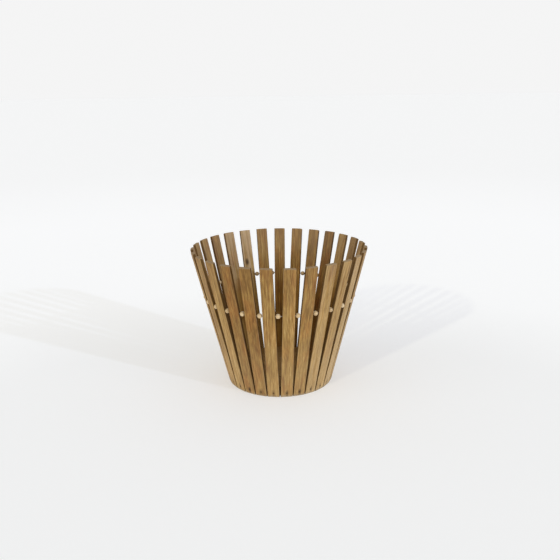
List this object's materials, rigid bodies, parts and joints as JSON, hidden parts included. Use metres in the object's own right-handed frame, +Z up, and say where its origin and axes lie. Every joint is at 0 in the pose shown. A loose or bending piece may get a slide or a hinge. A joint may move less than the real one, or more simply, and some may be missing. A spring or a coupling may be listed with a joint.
{
  "type": "wastebasket",
  "caption": "Round open-top wastebasket of flared wooden slats nailed round a base disc, spaced near the rim by wooden beads on a wire hoop.",
  "frame": {"origin": "centre of the underside, level with the floor that the basket stands on", "axes": "+Z up through the open mouth; -Y is the closing gap between the first and the last slat, +Y the middle of the back slat"},
  "size_m": [0.3548, 0.3542, 0.2809],
  "materials": {
    "slat_teak": "oiled teak, grain along the slat",
    "base_wood": "oiled teak board",
    "bead_wood": "pale turned hardwood",
    "nail_steel": "dull oxidised steel",
    "wire_steel": "drawn steel wire"
  },
  "bodies": {
    "basket": {"base_disc": "base_wood", "slat_01": "slat_teak", "slat_02": "slat_teak", "slat_03": "slat_teak", "slat_04": "slat_teak", "slat_05": "slat_teak", "slat_06": "slat_teak", "slat_07": "slat_teak", "slat_08": "slat_teak", "slat_09": "slat_teak", "slat_10": "slat_teak", "slat_11": "slat_teak", "slat_12": "slat_teak", "slat_13": "slat_teak", "slat_14": "slat_teak", "slat_15": "slat_teak", "slat_16": "slat_teak", "slat_17": "slat_teak", "slat_18": "slat_teak", "slat_19": "slat_teak", "slat_20": "slat_teak", "slat_21": "slat_teak", "slat_22": "slat_teak", "slat_23": "slat_teak", "slat_24": "slat_teak", "slat_25": "slat_teak", "slat_26": "slat_teak", "slat_27": "slat_teak", "slat_nails": "nail_steel", "wire_hoop": "wire_steel"},
    "bead_01": {"bead_01": "bead_wood"},
    "bead_02": {"bead_02": "bead_wood"},
    "bead_03": {"bead_03": "bead_wood"},
    "bead_04": {"bead_04": "bead_wood"},
    "bead_05": {"bead_05": "bead_wood"},
    "bead_06": {"bead_06": "bead_wood"},
    "bead_07": {"bead_07": "bead_wood"},
    "bead_08": {"bead_08": "bead_wood"},
    "bead_09": {"bead_09": "bead_wood"},
    "bead_10": {"bead_10": "bead_wood"},
    "bead_11": {"bead_11": "bead_wood"},
    "bead_12": {"bead_12": "bead_wood"},
    "bead_13": {"bead_13": "bead_wood"},
    "bead_14": {"bead_14": "bead_wood"},
    "bead_15": {"bead_15": "bead_wood"},
    "bead_16": {"bead_16": "bead_wood"},
    "bead_17": {"bead_17": "bead_wood"},
    "bead_18": {"bead_18": "bead_wood"},
    "bead_19": {"bead_19": "bead_wood"},
    "bead_20": {"bead_20": "bead_wood"},
    "bead_21": {"bead_21": "bead_wood"},
    "bead_22": {"bead_22": "bead_wood"},
    "bead_23": {"bead_23": "bead_wood"},
    "bead_24": {"bead_24": "bead_wood"},
    "bead_25": {"bead_25": "bead_wood"},
    "bead_26": {"bead_26": "bead_wood"},
    "bead_27": {"bead_27": "bead_wood"}
  },
  "joints": [
    {"name": "bead_01_spin", "type": "hinge", "parent": "basket", "child": "bead_01", "pos_m": [0.03536, -0.14578, 0.183], "axis": [0.9718, 0.2357, 0], "continuous": true},
    {"name": "bead_02_spin", "type": "hinge", "parent": "basket", "child": "bead_02", "pos_m": [0.06797, -0.13372, 0.183], "axis": [0.8915, 0.4531, 0], "continuous": true},
    {"name": "bead_03_spin", "type": "hinge", "parent": "basket", "child": "bead_03", "pos_m": [0.09693, -0.11448, 0.183], "axis": [0.7632, 0.6462, 0], "continuous": true},
    {"name": "bead_04_spin", "type": "hinge", "parent": "basket", "child": "bead_04", "pos_m": [0.12068, -0.0891, 0.183], "axis": [0.594, 0.8045, 0], "continuous": true},
    {"name": "bead_05_spin", "type": "hinge", "parent": "basket", "child": "bead_05", "pos_m": [0.13795, -0.05892, 0.183], "axis": [0.3928, 0.9196, 0], "continuous": true},
    {"name": "bead_06_spin", "type": "hinge", "parent": "basket", "child": "bead_06", "pos_m": [0.14781, -0.02558, 0.183], "axis": [0.1705, 0.9854, 0], "continuous": true},
    {"name": "bead_07_spin", "type": "hinge", "parent": "basket", "child": "bead_07", "pos_m": [0.14973, 0.00913, 0.183], "axis": [-0.0609, 0.9981, 0], "continuous": true},
    {"name": "bead_08_spin", "type": "hinge", "parent": "basket", "child": "bead_08", "pos_m": [0.1436, 0.04335, 0.183], "axis": [-0.289, 0.9573, 0], "continuous": true},
    {"name": "bead_09_spin", "type": "hinge", "parent": "basket", "child": "bead_09", "pos_m": [0.12977, 0.07525, 0.183], "axis": [-0.5016, 0.8651, 0], "continuous": true},
    {"name": "bead_10_spin", "type": "hinge", "parent": "basket", "child": "bead_10", "pos_m": [0.10896, 0.1031, 0.183], "axis": [-0.6873, 0.7264, 0], "continuous": true},
    {"name": "bead_11_spin", "type": "hinge", "parent": "basket", "child": "bead_11", "pos_m": [0.0823, 0.12541, 0.183], "axis": [-0.8361, 0.5486, 0], "continuous": true},
    {"name": "bead_12_spin", "type": "hinge", "parent": "basket", "child": "bead_12", "pos_m": [0.05122, 0.14099, 0.183], "axis": [-0.9399, 0.3414, 0], "continuous": true},
    {"name": "bead_13_spin", "type": "hinge", "parent": "basket", "child": "bead_13", "pos_m": [0.01738, 0.149, 0.183], "axis": [-0.9933, 0.1159, 0], "continuous": true},
    {"name": "bead_14_spin", "type": "hinge", "parent": "basket", "child": "bead_14", "pos_m": [-0.01738, 0.149, 0.183], "axis": [-0.9933, -0.1159, 0], "continuous": true},
    {"name": "bead_15_spin", "type": "hinge", "parent": "basket", "child": "bead_15", "pos_m": [-0.05122, 0.14099, 0.183], "axis": [-0.9399, -0.3414, 0], "continuous": true},
    {"name": "bead_16_spin", "type": "hinge", "parent": "basket", "child": "bead_16", "pos_m": [-0.0823, 0.12541, 0.183], "axis": [-0.8361, -0.5486, 0], "continuous": true},
    {"name": "bead_17_spin", "type": "hinge", "parent": "basket", "child": "bead_17", "pos_m": [-0.10896, 0.1031, 0.183], "axis": [-0.6873, -0.7264, 0], "continuous": true},
    {"name": "bead_18_spin", "type": "hinge", "parent": "basket", "child": "bead_18", "pos_m": [-0.12977, 0.07525, 0.183], "axis": [-0.5016, -0.8651, 0], "continuous": true},
    {"name": "bead_19_spin", "type": "hinge", "parent": "basket", "child": "bead_19", "pos_m": [-0.1436, 0.04335, 0.183], "axis": [-0.289, -0.9573, 0], "continuous": true},
    {"name": "bead_20_spin", "type": "hinge", "parent": "basket", "child": "bead_20", "pos_m": [-0.14973, 0.00913, 0.183], "axis": [-0.0609, -0.9981, 0], "continuous": true},
    {"name": "bead_21_spin", "type": "hinge", "parent": "basket", "child": "bead_21", "pos_m": [-0.14781, -0.02558, 0.183], "axis": [0.1705, -0.9854, 0], "continuous": true},
    {"name": "bead_22_spin", "type": "hinge", "parent": "basket", "child": "bead_22", "pos_m": [-0.13795, -0.05892, 0.183], "axis": [0.3928, -0.9196, 0], "continuous": true},
    {"name": "bead_23_spin", "type": "hinge", "parent": "basket", "child": "bead_23", "pos_m": [-0.12068, -0.0891, 0.183], "axis": [0.594, -0.8045, 0], "continuous": true},
    {"name": "bead_24_spin", "type": "hinge", "parent": "basket", "child": "bead_24", "pos_m": [-0.09693, -0.11448, 0.183], "axis": [0.7632, -0.6462, 0], "continuous": true},
    {"name": "bead_25_spin", "type": "hinge", "parent": "basket", "child": "bead_25", "pos_m": [-0.06797, -0.13372, 0.183], "axis": [0.8915, -0.4531, 0], "continuous": true},
    {"name": "bead_26_spin", "type": "hinge", "parent": "basket", "child": "bead_26", "pos_m": [-0.03536, -0.14578, 0.183], "axis": [0.9718, -0.2357, 0], "continuous": true},
    {"name": "bead_27_spin", "type": "hinge", "parent": "basket", "child": "bead_27", "pos_m": [-0.00149, -0.15, 0.183], "axis": [1, -0.0099, 0], "continuous": true}
  ]
}
